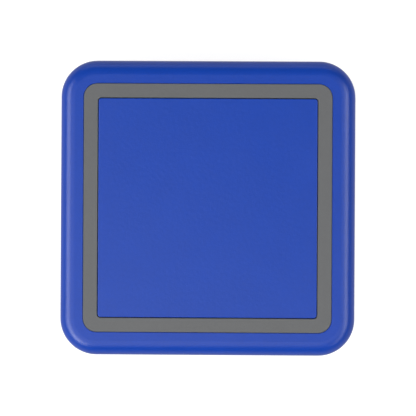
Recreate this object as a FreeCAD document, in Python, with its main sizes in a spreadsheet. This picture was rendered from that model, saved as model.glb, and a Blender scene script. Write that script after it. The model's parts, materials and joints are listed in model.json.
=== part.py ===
"""A pad demagnetizer for watches and small tools, in millimetres.

A flat square case holds a pulse coil right under a sprung plate. A watch is laid on the plate and pressed
down: the plate travels until a long rod under it works a lever switch on the circuit board, and the board
discharges its two capacitors through the coil. A light ring around the plate shows that the unit is ready.

+Z is up and +Y points to the back, where the supply's plug goes in. The origin is on the table, under the
middle of the case. Every size is a cell of the spreadsheet, and the formulas below name those cells.
"""

import FreeCAD, Part  # noqa: E401

import math
import os
import re

import Sketcher

Vector = FreeCAD.Vector
UPRIGHT = FreeCAD.Rotation()
HEAD_DOWN = FreeCAD.Rotation(Vector(1, 0, 0), 180)
ALONG_Y = FreeCAD.Rotation(Vector(1, 0, 0), -90)
ON_EDGE = FreeCAD.Rotation(Vector(1, 0, 0), 90)
CORNERS = {"front_left": (-1, -1), "front_right": (1, -1), "back_right": (1, 1), "back_left": (-1, 1)}
SIDES = {"left": -1, "right": 1}
MIDDLES = [(-1, 0), (1, 0), (0, -1), (0, 1)]

DIMENSIONS = {
    # case
    "case_width": 100.0,
    "case_height": 38.0,
    "case_corner": 12.4,
    "case_round": 5.0,
    "base_round": 3.0,
    "wall": 2.2,
    "roof": 2.4,
    "floor_thick": 2.5,
    "seam_height": 8.0,
    "seam_chamfer": 0.35,
    "tongue_rise": 1.5,
    "tongue_thick": 1.0,
    "edge_break": 0.15,
    "screw_slot": 0.6,
    "slack": 0.1,
    "hairline": 0.05,
    # feet and label under the base
    "foot_stand": 1.5,
    "foot_seat": 0.8,
    "foot_radius": 6.0,
    "foot_pitch": 32.0,
    "foot_round": 0.6,
    "label_width": 44.0,
    "label_depth": 26.0,
    "label_thick": 0.15,
    "label_seat": 0.3,
    # screws that close the case
    "case_screw_pitch": 42.9,
    "case_boss_radius": 2.6,
    "case_boss_bottom": 9.55,
    "case_tower_radius": 3.4,
    "case_screw_seat": 5.0,
    "case_screw_radius": 1.2,
    "case_screw_head": 2.4,
    "case_screw_head_height": 1.9,
    "case_screw_length": 13.0,
    "web_thick": 1.6,
    "web_reach": 5.0,
    "web_top": 30.0,
    # light ring
    "ring_outer": 84.0,
    "ring_inner": 74.45,
    "ring_corner": 4.6,
    "ring_inner_corner": 1.2,
    "ring_flange": 1.2,
    "ring_ledge": 1.1,
    "ring_ledge_corner": 7.8,
    "ring_leg_pitch": 34.0,
    "ring_leg_row": 41.8,
    "ring_leg_width": 3.0,
    "ring_leg_thick": 1.6,
    "ring_gap": 0.08,
    # press plate
    "plate_gap": 0.22,
    "plate_corner": 1.0,
    "plate_thick": 2.2,
    "skirt_height": 5.0,
    "skirt_thick": 1.6,
    "rib_height": 1.0,
    "rib_thick": 1.2,
    "rib_pitch": 12.0,
    "press_travel": 1.5,
    "post_pitch": 31.0,
    "post_radius": 2.5,
    "post_bottom": 20.95,
    "shoulder_radius": 3.0,
    "post_screw_radius": 1.1,
    "post_screw_length": 8.0,
    "post_screw_head": 2.6,
    "post_screw_head_height": 1.8,
    "washer_radius": 4.0,
    "washer_thick": 0.8,
    "rod_x": 5.6,
    "rod_y": -34.5,
    "rod_radius": 1.5,
    "rod_tip": 17.27,
    # springs under the plate
    "spring_radius": 3.65,
    "spring_wire": 0.3,
    "spring_turns": 5.0,
    # carrier
    "carrier_top": 29.0,
    "carrier_thick": 2.0,
    "carrier_clear": 0.4,
    "carrier_notch": 39.8,
    "cup_bottom": 16.9,
    "cup_floor": 2.0,
    "cup_inner": 27.3,
    "cup_outer": 29.3,
    "guide_radius": 4.4,
    "guide_bottom": 21.0,
    "guide_clear": 0.05,
    "carrier_screw_pitch": 45.6,
    "carrier_boss_radius": 2.2,
    "carrier_screw_radius": 0.95,
    "carrier_screw_head": 1.9,
    "carrier_screw_head_height": 1.4,
    "carrier_screw_length": 8.0,
    # coil
    "flange_radius": 27.0,
    "flange_thick": 1.2,
    "bobbin_height": 11.2,
    "bobbin_bore": 6.6,
    "bobbin_tube": 7.8,
    "winding_radius": 26.2,
    "slug_radius": 6.5,
    "slug_head_radius": 8.5,
    "slug_head_height": 0.8,
    "flux_plate_radius": 26.9,
    "flux_plate_thick": 2.5,
    "core_screw_radius": 2.0,
    "core_screw_head": 3.6,
    "core_screw_head_height": 2.4,
    "core_screw_length": 12.0,
    "lead_radius": 0.75,
    "lead_bend": 2.2,
    # circuit board
    "board_bottom": 7.0,
    "board_thick": 1.6,
    "board_half": 45.0,
    "board_notch": 39.3,
    "board_screw_pitch": 32.0,
    "standoff_radius": 3.2,
    "board_screw_radius": 1.2,
    "board_screw_head": 2.3,
    "board_screw_head_height": 1.7,
    "board_screw_length": 6.0,
    "sheet_thick": 0.25,
    "film_width": 64.0,
    "film_depth": 58.0,
    "pin_tail": 0.8,
    "pin_clear": 0.15,
    # capacitors
    "capacitor_x": 38.2,
    "capacitor_radius": 8.0,
    "capacitor_length": 30.0,
    "capacitor_sleeve": 0.2,
    "bung_radius": 6.4,
    "bung_depth": 2.5,
    "capacitor_pitch": 3.75,
    "capacitor_wire": 0.4,
    "capacitor_reach": 3.2,
    # transformer
    "transformer_x": -19.0,
    "transformer_y": -37.0,
    "transformer_width": 14.5,
    "transformer_depth": 13.0,
    "transformer_leg": 2.5,
    "transformer_post": 4.5,
    "transformer_core_thick": 5.0,
    "transformer_base": 1.5,
    "transformer_tube": 0.6,
    "transformer_copper": 1.4,
    "transformer_pin": 0.35,
    "transformer_pin_pitch": 4.5,
    # supply socket
    "socket_width": 9.0,
    "socket_depth": 14.0,
    "socket_height": 11.0,
    "socket_rise": 6.5,
    "socket_face": 47.6,
    "socket_bore": 3.15,
    "socket_bore_depth": 9.5,
    "socket_pin": 1.05,
    "socket_pin_length": 8.5,
    "socket_opening": 5.2,
    "tag_width": 2.4,
    "tag_thick": 0.8,
    # lever switch
    "switch_length": 12.8,
    "switch_width": 5.8,
    "switch_height": 6.5,
    "lever_pivot_x": -5.4,
    "lever_pivot_z": 15.45,
    "lever_angle": 8.4,
    "lever_length": 13.0,
    "lever_width": 4.0,
    "lever_thick": 0.3,
    "lever_pin": 0.3,
    "ear_thick": 0.7,
    "plunger_x": -2.0,
    "plunger_radius": 0.75,
    "plunger_top": 15.75,
    "plunger_bottom": 13.3,
    "switch_tag_width": 1.2,
    "switch_tag_thick": 0.6,
    "switch_tag_pitch": 5.0,
    # terminal block for the coil
    "block_x": 18.0,
    "block_y": 36.8,
    "block_width": 10.2,
    "block_depth": 7.6,
    "block_height": 10.0,
    "block_pitch": 5.0,
    "block_entry": 1.2,
    "block_entry_rise": 3.9,
    "block_screw": 1.7,
    # power thyristor, inductor, resistors and chips
    "thyristor_x": 13.0,
    "thyristor_y": 6.0,
    "thyristor_width": 10.2,
    "thyristor_body": 9.0,
    "thyristor_height": 4.4,
    "thyristor_tab": 6.4,
    "thyristor_tab_thick": 1.3,
    "thyristor_pin": 0.4,
    "thyristor_pin_pitch": 2.54,
    "thyristor_pin_reach": 3.0,
    "thyristor_pin_bend": 1.0,
    "thyristor_hole": 1.8,
    "inductor_x": -13.0,
    "inductor_y": 9.0,
    "inductor_width": 10.0,
    "inductor_height": 5.0,
    "resistor_radius": 1.5,
    "resistor_length": 7.0,
    "resistor_wire": 0.3,
    "resistor_wire_bend": 0.8,
    "resistor_x": -6.0,
    "resistor_y": -2.0,
    "resistor_pitch": 5.0,
    "chip_height": 1.45,
    "chip_lift": 0.15,
    "chip_dot": 0.35,
    "small_part_width": 1.25,
    "small_part_depth": 2.0,
    "small_part_height": 0.8,
    # light board
    "light_board_outer": 86.0,
    "light_board_inner": 76.4,
    "light_board_corner": 8.0,
    "light_board_thick": 1.2,
    "led_pitch": 24.0,
    "led_length": 3.5,
    "led_width": 2.8,
    "led_height": 1.4,
    "led_window": 1.1,
    "led_row": 40.2,
    "link_x": -24.0,
    "link_y": 38.0,
    "link_pitch": 2.5,
    "link_width": 9.0,
    "link_depth": 5.0,
    "link_height": 5.5,
    "link_wire": 0.6,
    "link_bend": 1.4,
}

doc = FreeCAD.newDocument("demagnetizer")
sheet = doc.addObject("Spreadsheet::Sheet", "dims")
for row, (alias, size) in enumerate(DIMENSIONS.items(), start=1):
    sheet.set(f"A{row}", alias.replace("_", " "))
    sheet.set(f"B{row}", str(size))
    sheet.setAlias(f"B{row}", alias)
doc.recompute()

nodes = []


# ---------------------------------------------------------------- formulas and features


def bound(formula):
    """The formula with each dimension written as a reference to its cell."""
    return re.sub(r"[a-z_]+", lambda word: ("dims." if word[0] in DIMENSIONS else "") + word[0], str(formula))


def number(formula):
    """What the formula comes to."""
    filled = re.sub(r"[a-z_]+", lambda word: f"({DIMENSIONS.get(word[0], word[0])})", str(formula))
    return FreeCAD.Units.Quantity(filled).Value


def bind(obj, **formulas):
    for name, formula in formulas.items():
        obj.setExpression(name, bound(formula))


def place(obj, x="0", y="0", z="0", turn=UPRIGHT):
    obj.Placement = FreeCAD.Placement(Vector(), turn)
    for axis, formula in zip("xyz", (x, y, z)):
        obj.setExpression(f"Placement.Base.{axis}", bound(formula))
    return obj


def node(obj, label):
    """Marks a finished object as a sub-part, under the name of its file."""
    obj.Label = label
    nodes.append(obj)
    return obj


def new_body(x="0", y="0", z="0", turn=UPRIGHT):
    return place(doc.addObject("PartDesign::Body", "body"), x, y, z, turn)


class Profile:
    """A closed profile on one of a body's origin planes, with every size driven by a formula."""

    def __init__(self, body, plane="XY_Plane", offset="0"):
        self.sketch = body.newObject("Sketcher::SketchObject", "profile")
        support = next(f for f in body.Origin.OriginFeatures if f.Role == plane)
        self.sketch.AttachmentSupport = [(support, "")]
        self.sketch.MapMode = "FlatFace"
        self.sketch.setExpression("AttachmentOffset.Base.z", bound(offset))

    def drive(self, kind, *where, formula):
        index = self.sketch.addConstraint(Sketcher.Constraint(kind, *where, number(formula)))
        self.sketch.renameConstraint(index, f"size_{index}")
        self.sketch.setExpression(f".Constraints.size_{index}", bound(formula))

    def fix(self, geometry, point, x, y):
        self.drive("DistanceX", -1, 1, geometry, point, formula=x)
        self.drive("DistanceY", -1, 1, geometry, point, formula=y)

    def circle(self, radius, x="0", y="0"):
        circle = Part.Circle(Vector(number(x), number(y), 0), Vector(0, 0, 1), number(radius))
        index = self.sketch.addGeometry(circle)
        self.drive("Radius", index, formula=radius)
        self.fix(index, 3, x, y)
        return self

    def polygon(self, *points):
        corners = [Vector(number(x), number(y), 0) for x, y in points]
        ends = corners[1:] + corners[:1]
        first = self.sketch.addGeometry([Part.LineSegment(a, b) for a, b in zip(corners, ends)])[0]
        for k, (x, y) in enumerate(points):
            following = first + (k + 1) % len(points)
            self.sketch.addConstraint(Sketcher.Constraint("Coincident", first + k, 2, following, 1))
            self.fix(first + k, 1, x, y)
        return self

    def rectangle(self, width, depth, x="0", y="0"):
        left, right = f"({x}) - ({width}) / 2", f"({x}) + ({width}) / 2"
        low, high = f"({y}) - ({depth}) / 2", f"({y}) + ({depth}) / 2"
        return self.polygon((left, low), (right, low), (right, high), (left, high))

    def rounded_square(self, width, corner):
        """A square about the origin with round corners: four sides and four tangent arcs."""
        half, radius = number(width) / 2, number(corner)
        inner = half - radius
        shapes = []
        for quarter in range(4):
            turn = FreeCAD.Rotation(Vector(0, 0, 1), 90 * quarter)
            side = Part.LineSegment(turn * Vector(-inner, -half, 0), turn * Vector(inner, -half, 0))
            round_off = Part.Circle(turn * Vector(inner, -inner, 0), Vector(0, 0, 1), radius)
            start = math.pi / 2 * (quarter - 1)
            shapes += [side, Part.ArcOfCircle(round_off, start, start + math.pi / 2)]
        first = self.sketch.addGeometry(shapes)[0]
        for k in range(8):
            self.sketch.addConstraint(Sketcher.Constraint("Tangent", first + k, 2, first + (k + 1) % 8, 1))
        for k in (0, 2, 4, 6):
            level = "Horizontal" if k % 4 == 0 else "Vertical"
            self.sketch.addConstraint(Sketcher.Constraint(level, first + k))
        for k in (3, 5, 7):
            self.sketch.addConstraint(Sketcher.Constraint("Equal", first + 1, first + k))
        self.drive("Radius", first + 1, formula=corner)
        reach = f"({width}) / 2 - ({corner})"
        self.fix(first + 3, 3, reach, reach)
        self.fix(first + 7, 3, f"-({reach})", f"-({reach})")
        return self


def notched_square(half, notch):
    """Corner points of a square with a square bite out of each corner."""
    half, notch = f"({half})", f"({notch})"
    outline = []
    for sx, sy in ((1, -1), (1, 1), (-1, 1), (-1, -1)):
        bite = [(notch, half), (notch, notch), (half, notch)]
        if sx * sy > 0:
            bite.reverse()
        outline += [(f"{sx} * {x}", f"{sy} * {y}") for x, y in bite]
    return outline


def feature(body, kind, **settings):
    made = body.newObject(kind, kind.split("::")[1])
    for name, setting in settings.items():
        setattr(made, name, setting)
    return made


def pad(body, profile, length, down=False):
    made = feature(body, "PartDesign::Pad", Profile=profile.sketch, Reversed=down)
    bind(made, Length=length)
    doc.recompute()
    return made


def pocket(body, profile, length, up=False):
    """Cuts the profile away, downwards unless told to go up. A cut that removes nothing is an error."""
    before = body.Shape.Volume
    made = feature(body, "PartDesign::Pocket", Profile=profile.sketch, Reversed=up)
    bind(made, Length=length)
    doc.recompute()
    if before - body.Shape.Volume < 1e-6:
        raise RuntimeError(f"a pocket of {body.Label} cuts nothing")
    return made


def revolve(body, profile):
    made = feature(body, "PartDesign::Revolution", Profile=profile.sketch, Angle=360.0)
    made.ReferenceAxis = (profile.sketch, ["V_Axis"])
    doc.recompute()
    return made


def ease(body, kind, size, chosen):
    """Fillets or chamfers the edges of the body that chosen() picks."""
    base = body.Tip
    names = [f"Edge{k}" for k, edge in enumerate(base.Shape.Edges, start=1) if chosen(edge)]
    if not names:
        raise RuntimeError(f"no edge of {body.Label} to ease")
    made = feature(body, f"PartDesign::{kind}", Base=(base, names))
    bind(made, **{"Radius" if kind == "Fillet" else "Size": size})
    doc.recompute()
    return made


def square_loop(level, half):
    """Picks the edges of a rounded square at that level and of that half width."""
    z, reach = number(level), number(half)

    def on_loop(vertex):
        return abs(vertex.Z - z) < 1e-4 and abs(max(abs(vertex.X), abs(vertex.Y)) - reach) < 1e-4

    return lambda edge: all(on_loop(vertex) for vertex in edge.Vertexes)


def at_level(level):
    """Picks the edges that lie at that height."""
    z = number(level)
    return lambda edge: all(abs(vertex.Z - z) < 1e-4 for vertex in edge.Vertexes)


def box(width, depth, height, x="0", y="0", z="0"):
    """A box centred on x and y, standing on z."""
    made = doc.addObject("Part::Box", "box")
    bind(made, Length=width, Width=depth, Height=height)
    return place(made, f"({x}) - ({width}) / 2", f"({y}) - ({depth}) / 2", z)


def cylinder(radius, height, x="0", y="0", z="0", turn=UPRIGHT):
    made = doc.addObject("Part::Cylinder", "cylinder")
    bind(made, Radius=radius, Height=height)
    return place(made, x, y, z, turn)


def fuse(*pieces):
    made = doc.addObject("Part::MultiFuse", "fusion")
    made.Shapes = list(pieces)
    return made


def cut(base, *tools):
    made = doc.addObject("Part::Cut", "cut")
    made.Base = base
    made.Tool = tools[0] if len(tools) == 1 else fuse(*tools)
    return made


def group(pieces):
    made = doc.addObject("Part::Compound", "group")
    made.Links = list(pieces)
    return made


def bent_wire(points, radius, bend):
    """A round wire along straight runs that are joined by tangent arcs."""
    corners = [Vector(*(number(c) for c in point)) for point in points]
    edges, start = [], corners[0]
    for before, here, after in zip(corners, corners[1:], corners[2:]):
        into, out = (here - before).normalize(), (after - here).normalize()
        half_turn = into.getAngle(out) / 2
        trim = number(bend) * math.tan(half_turn)
        first, last = here - into * trim, here + out * trim
        rise = number(bend) * (1 / math.cos(half_turn) - 1)
        middle = here + (out - into).normalize() * rise
        edges += [Part.LineSegment(start, first).toShape(), Part.Arc(first, middle, last).toShape()]
        start = last
    edges.append(Part.LineSegment(start, corners[-1]).toShape())
    section = Part.Wire(Part.Circle(corners[0], corners[1] - corners[0], number(radius)).toShape())
    made = doc.addObject("Part::Feature", "wire")
    made.Shape = Part.Wire(edges).makePipeShell([section], True, False)
    return made


def screw(radius, length, head, head_height, x, y, z, turn=HEAD_DOWN):
    """A plain-shank screw with a cross recess. z is the face its head bears on."""
    shank = cylinder(radius, f"{length} + {head_height} / 2", x, y, z)
    cap = cylinder(head, head_height, x, y, f"({z}) - {head_height}")
    slots = []
    slot_bottom = f"({z}) - {head_height} - 0.01"
    for long_side, short_side in ((f"{head} * 1.2", "screw_slot"), ("screw_slot", f"{head} * 1.2")):
        slots.append(box(long_side, short_side, f"{head_height} * 0.6", x, y, slot_bottom))
    shank.setExpression("Placement.Base.z", bound(f"({z}) - {head_height} / 2"))
    return cut(fuse(shank, cap), *slots)


# ---------------------------------------------------------------- case

half_case = "case_width / 2"

base = new_body(z="foot_stand")
pad(base, Profile(base).rounded_square("case_width", "case_corner"), "seam_height - foot_stand")
ease(base, "Fillet", "base_round", square_loop("0", half_case))
ease(base, "Chamfer", "seam_chamfer", square_loop("seam_height - foot_stand", half_case))
inside = Profile(base, offset="floor_thick").rounded_square("case_width - 2 * wall", "case_corner - wall")
pocket(base, inside, "seam_height", up=True)
tongue = Profile(base, offset="seam_height - foot_stand")
tongue.rounded_square("case_width - 2 * wall + 2 * tongue_thick", "case_corner - wall + tongue_thick")
tongue.rounded_square("case_width - 2 * wall", "case_corner - wall")
pad(base, tongue, "tongue_rise")
towers, standoffs = Profile(base), Profile(base)
holes, seats, foot_seats = Profile(base), Profile(base), Profile(base)
for sx, sy in CORNERS.values():
    tower = (f"{sx} * case_screw_pitch", f"{sy} * case_screw_pitch")
    standoff = (f"{sx} * board_screw_pitch", f"{sy} * board_screw_pitch")
    towers.circle("case_tower_radius", *tower)
    holes.circle("case_screw_radius + slack", *tower)
    seats.circle("case_screw_head + 4 * slack", *tower)
    standoffs.circle("standoff_radius", *standoff)
    foot_seats.circle("foot_radius + hairline", f"{sx} * foot_pitch", f"{sy} * foot_pitch")
pad(base, towers, "case_boss_bottom - foot_stand - hairline")
pad(base, standoffs, "board_bottom - foot_stand")
pocket(base, seats, "case_screw_seat - foot_stand", up=True)
pocket(base, holes, "case_boss_bottom", up=True)
pocket(base, foot_seats, "foot_seat", up=True)
label_seat = Profile(base).rectangle("label_width + 4 * slack", "label_depth + 4 * slack")
pocket(base, label_seat, "label_seat", up=True)
pilots = Profile(base, offset="board_bottom - foot_stand")
for sx, sy in CORNERS.values():
    pilots.circle("board_screw_radius + hairline", f"{sx} * board_screw_pitch", f"{sy} * board_screw_pitch")
pocket(base, pilots, "board_screw_length - board_thick + slack")
node(base, "base_tray")

top = new_body(z="seam_height")
pad(top, Profile(top).rounded_square("case_width", "case_corner"), "case_height - seam_height")
ease(top, "Fillet", "case_round", square_loop("case_height - seam_height", half_case))
ease(top, "Chamfer", "seam_chamfer", square_loop("0", half_case))
hollow = Profile(top).rounded_square("case_width - 2 * wall", "case_corner - wall")
pocket(top, hollow, "case_height - seam_height - roof", up=True)
lip_width = "case_width - 2 * wall + 2 * tongue_thick + 2 * slack"
lip = Profile(top).rounded_square(lip_width, "case_corner - wall + tongue_thick + slack")
pocket(top, lip, "tongue_rise + slack", up=True)
window = Profile(top, offset="case_height - seam_height")
window.rounded_square("ring_outer + 2 * ring_gap", "ring_corner + ring_gap")
pocket(top, window, "roof")
ease(top, "Chamfer", "edge_break", square_loop("case_height - seam_height", "ring_outer / 2 + ring_gap"))
bosses = Profile(top, offset="case_boss_bottom - seam_height")
boss_holes = Profile(top)
for sx, sy in CORNERS.values():
    boss = (f"{sx} * case_screw_pitch", f"{sy} * case_screw_pitch")
    bosses.circle("case_boss_radius", *boss)
    boss_holes.circle("case_screw_radius + hairline", *boss)
pad(top, bosses, "case_height - case_boss_bottom - roof / 2")
for sx, sy in CORNERS.values():
    along_x, along_y = f"{sx} * case_screw_pitch", f"{sy} * case_screw_pitch"
    out_x = f"{sx} * (case_screw_pitch + web_reach / 2)"
    out_y = f"{sy} * (case_screw_pitch + web_reach / 2)"
    plans = (("web_reach", "web_thick", out_x, along_y), ("web_thick", "web_reach", along_x, out_y))
    for plan in plans:
        web = Profile(top, offset="case_boss_bottom - seam_height").rectangle(*plan)
        pad(top, web, "web_top - case_boss_bottom")
pocket(top, boss_holes, "case_screw_seat + case_screw_length - seam_height + 1", up=True)
posts = Profile(top, offset="carrier_top - seam_height")
post_holes = Profile(top)
for sx, sy in MIDDLES:
    at = (f"{sx} * carrier_screw_pitch", f"{sy} * carrier_screw_pitch")
    posts.circle("carrier_boss_radius", *at)
    post_holes.circle("carrier_screw_radius + hairline", *at)
pad(top, posts, "case_height - carrier_top - roof / 2")
screw_tip = "carrier_top - carrier_thick + carrier_screw_length"
pocket(top, post_holes, f"{screw_tip} - seam_height + slack", up=True)
plug_height = "board_bottom + board_thick + socket_rise - seam_height"
plug_hole = Profile(top, "XZ_Plane").circle("socket_opening", "0", plug_height)
pocket(top, plug_hole, "case_width", up=False)
node(top, "top_housing")

ring = new_body(z="case_height")
frame = Profile(ring).rounded_square("ring_outer", "ring_corner")
frame.rounded_square("ring_inner", "ring_inner_corner")
pad(ring, frame, "roof + ring_flange", down=True)
flange = Profile(ring, offset="-(roof + ring_flange)")
flange.rounded_square("ring_outer + 2 * ring_ledge", "ring_ledge_corner")
flange.rounded_square("ring_inner", "ring_inner_corner")
pad(ring, flange, "ring_flange")
legs = Profile(ring, offset="-(roof + ring_flange)")
for side in (-1, 1):
    for end in (-1, 1):
        row, along = f"{side} * ring_leg_row", f"{end} * ring_leg_pitch"
        legs.rectangle("ring_leg_thick", "ring_leg_width", row, along)
        legs.rectangle("ring_leg_width", "ring_leg_thick", along, row)
pad(ring, legs, "case_height - roof - ring_flange - carrier_top - light_board_thick", down=True)
ease(ring, "Chamfer", "edge_break", square_loop("0", "ring_outer / 2"))
ease(ring, "Chamfer", "edge_break", square_loop("0", "ring_inner / 2"))
node(ring, "light_ring")

for name, (sx, sy) in CORNERS.items():
    foot = new_body(f"{sx} * foot_pitch", f"{sy} * foot_pitch", "0")
    pad(foot, Profile(foot).circle("foot_radius"), "foot_stand + foot_seat")
    ease(foot, "Fillet", "foot_round", at_level("0"))
    node(foot, f"foot_{name}")

label_bottom = "foot_stand + label_seat - label_thick"
node(box("label_width", "label_depth", "label_thick", z=label_bottom), "rating_label")

case_screws = []
for sx, sy in CORNERS.values():
    at = (f"{sx} * case_screw_pitch", f"{sy} * case_screw_pitch", "case_screw_seat")
    sizes = [f"case_screw_{part}" for part in ("radius", "length", "head", "head_height")]
    case_screws.append(screw(*sizes, *at))
node(group(case_screws), "case_screws")

# ---------------------------------------------------------------- press plate

plate = new_body(z="case_height")
plate_width = "ring_inner - 2 * plate_gap"
skirt_inside = "ring_inner - 2 * plate_gap - 2 * skirt_thick"
pad(plate, Profile(plate).rounded_square(plate_width, "plate_corner"), "skirt_height", down=True)
under = Profile(plate, offset="-skirt_height").rounded_square(skirt_inside, "plate_corner")
pocket(plate, under, "skirt_height - plate_thick", up=True)
for step in (-1, 0, 1):
    across = f"{step} * rib_pitch"
    for plan in ((skirt_inside, "rib_thick", "0", across), ("rib_thick", skirt_inside, across, "0")):
        pad(plate, Profile(plate, offset="-plate_thick").rectangle(*plan), "rib_height", down=True)
shoulders = Profile(plate, offset="-plate_thick")
stems = Profile(plate, offset="-plate_thick")
screw_holes = Profile(plate, offset="post_bottom - case_height")
for sx, sy in CORNERS.values():
    at = (f"{sx} * post_pitch", f"{sy} * post_pitch")
    shoulders.circle("shoulder_radius", *at)
    stems.circle("post_radius", *at)
    screw_holes.circle("post_screw_radius + hairline", *at)
pad(plate, shoulders, "case_height - plate_thick - carrier_top - press_travel - hairline", down=True)
pad(plate, stems, "case_height - plate_thick - post_bottom", down=True)
pocket(plate, screw_holes, "post_screw_length - washer_thick + slack", up=True)
rod = Profile(plate, offset="-plate_thick").circle("rod_radius", "rod_x", "rod_y")
pad(plate, rod, "case_height - plate_thick - rod_tip", down=True)
ease(plate, "Fillet", "rod_radius * 0.96", at_level("rod_tip - case_height"))
ease(plate, "Fillet", "edge_break * 1.5", square_loop("0", "ring_inner / 2 - plate_gap"))
node(plate, "press_plate")

washers, post_screws = [], []
for sx, sy in CORNERS.values():
    at = (f"{sx} * post_pitch", f"{sy} * post_pitch")
    disc = cylinder("washer_radius", "washer_thick", *at, "post_bottom - washer_thick")
    eye_bottom = "post_bottom - washer_thick * 1.5"
    eye = cylinder("post_screw_radius + hairline", "washer_thick * 2", *at, eye_bottom)
    washers.append(cut(disc, eye))
    sizes = [f"post_screw_{part}" for part in ("radius", "length", "head", "head_height")]
    post_screws.append(screw(*sizes, *at, "post_bottom - washer_thick"))
node(group(washers), "post_washers")
node(group(post_screws), "post_screws")

spring_room = "case_height - plate_thick - carrier_top"
spring_rise = f"{spring_room} - 2 * spring_wire - 0.08"
for name, (sx, sy) in CORNERS.items():
    helix = doc.addObject("Part::Helix", "helix")
    helix.SegmentLength = 1.0
    bind(helix, Pitch=f"({spring_rise}) / spring_turns", Height=spring_rise, Radius="spring_radius")
    section = doc.addObject("Part::Circle", "wire_section")
    bind(section, Radius="spring_wire")
    at = (f"{sx} * post_pitch", f"{sy} * post_pitch", "carrier_top + spring_wire + 0.04")
    place(helix, *at)
    place(section, f"{sx} * post_pitch + spring_radius", *at[1:], turn=ON_EDGE)
    doc.recompute()
    spring = doc.addObject("Part::Sweep", "spring")
    spring.Sections = [section]
    spring.Spine = (helix, [f"Edge{turn}" for turn in range(1, len(helix.Shape.Edges) + 1)])
    spring.Solid = True
    spring.Frenet = True
    node(spring, f"plate_spring_{name}")

# ---------------------------------------------------------------- carrier

carrier = new_body()
rim_half = "case_width / 2 - wall - carrier_clear"
rim = Profile(carrier, offset="carrier_top - carrier_thick")
pad(carrier, rim.polygon(*notched_square(rim_half, "carrier_notch")), "carrier_thick")
cup = Profile(carrier, offset="cup_bottom").circle("cup_outer")
pad(carrier, cup, "carrier_top - cup_bottom")
tubes = Profile(carrier, offset="guide_bottom")
bores = Profile(carrier, offset="guide_bottom")
rim_holes = Profile(carrier, offset="cup_bottom")
for sx, sy in CORNERS.values():
    tubes.circle("guide_radius", f"{sx} * post_pitch", f"{sy} * post_pitch")
    bores.circle("post_radius + guide_clear", f"{sx} * post_pitch", f"{sy} * post_pitch")
for sx, sy in MIDDLES:
    at = (f"{sx} * carrier_screw_pitch", f"{sy} * carrier_screw_pitch")
    rim_holes.circle("carrier_screw_radius + slack", *at)
rim_holes.circle("rod_radius + 4 * slack", "rod_x", "rod_y")
pad(carrier, tubes, "carrier_top - guide_bottom")
cup_room = Profile(carrier, offset="cup_bottom + cup_floor").circle("cup_inner")
pocket(carrier, cup_room, "carrier_top", up=True)
pocket(carrier, bores, "carrier_top", up=True)
pocket(carrier, rim_holes, "carrier_top", up=True)
centre_hole = Profile(carrier, offset="cup_bottom").circle("core_screw_radius + slack")
pocket(carrier, centre_hole, "cup_floor * 2", up=True)
lead_window = Profile(carrier, offset="carrier_top - carrier_thick")
pocket(carrier, lead_window.rectangle("block_width - 2", "14", "block_x", "22.5"), "3.2")
link_hole = Profile(carrier, offset="cup_bottom").rectangle("link_width", "6", "link_x", "link_y + 1.6")
pocket(carrier, link_hole, "carrier_top", up=True)
node(carrier, "carrier_frame")

carrier_screws = []
for sx, sy in MIDDLES:
    at = (f"{sx} * carrier_screw_pitch", f"{sy} * carrier_screw_pitch", "carrier_top - carrier_thick")
    sizes = [f"carrier_screw_{part}" for part in ("radius", "length", "head", "head_height")]
    carrier_screws.append(screw(*sizes, *at))
node(group(carrier_screws), "carrier_screws")

# ---------------------------------------------------------------- coil

bobbin_bottom = "cup_bottom + cup_floor + flux_plate_thick"
bobbin = new_body(z=bobbin_bottom)
half_bobbin = Profile(bobbin, "XZ_Plane").polygon(
    ("bobbin_bore", "0"),
    ("flange_radius", "0"),
    ("flange_radius", "flange_thick"),
    ("bobbin_tube", "flange_thick"),
    ("bobbin_tube", "bobbin_height - flange_thick"),
    ("flange_radius", "bobbin_height - flange_thick"),
    ("flange_radius", "bobbin_height"),
    ("slug_head_radius + slack", "bobbin_height"),
    ("slug_head_radius + slack", "bobbin_height - slug_head_height"),
    ("bobbin_bore", "bobbin_height - slug_head_height"),
)
revolve(bobbin, half_bobbin)
node(bobbin, "coil_bobbin")

winding_height = "bobbin_height - 2 * flange_thick - 2 * hairline"
winding = cylinder("winding_radius", winding_height, z=f"{bobbin_bottom} + flange_thick + hairline")
winding_bore = cylinder("bobbin_tube + hairline", "bobbin_height", z=bobbin_bottom)
node(cut(winding, winding_bore), "coil_winding")

flux = cylinder("flux_plate_radius", "flux_plate_thick", z="cup_bottom + cup_floor")
flux_hole = cylinder("core_screw_radius + slack", "flux_plate_thick * 3", z="cup_bottom")
node(cut(flux, flux_hole), "flux_plate")

slug_head_bottom = f"{bobbin_bottom} + bobbin_height - slug_head_height"
slug = fuse(
    cylinder("slug_radius", "bobbin_height - slug_head_height / 2", z=bobbin_bottom),
    cylinder("slug_head_radius", "slug_head_height", z=slug_head_bottom),
)
slug_hole = cylinder("core_screw_radius + hairline", "core_screw_length + slack", z="cup_bottom")
node(cut(slug, slug_hole), "core_slug")
sizes = [f"core_screw_{part}" for part in ("radius", "length", "head", "head_height")]
node(screw(*sizes, "0", "0", "cup_bottom"), "core_screw")

board_top = "board_bottom + board_thick"
coil_leads = []
for side, start in ((-1, "21.75"), (1, "17.35")):
    x = f"block_x + {side} * block_pitch / 2"
    entry = f"{board_top} + block_entry_rise"
    path = [(x, start, "25.2"), (x, "30.6", "25.2"), (x, "30.6", entry), (x, "block_y - 0.5", entry)]
    coil_leads.append(bent_wire(path, "lead_radius", "lead_bend"))
node(group(coil_leads), "coil_leads")

# ---------------------------------------------------------------- light board

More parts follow.
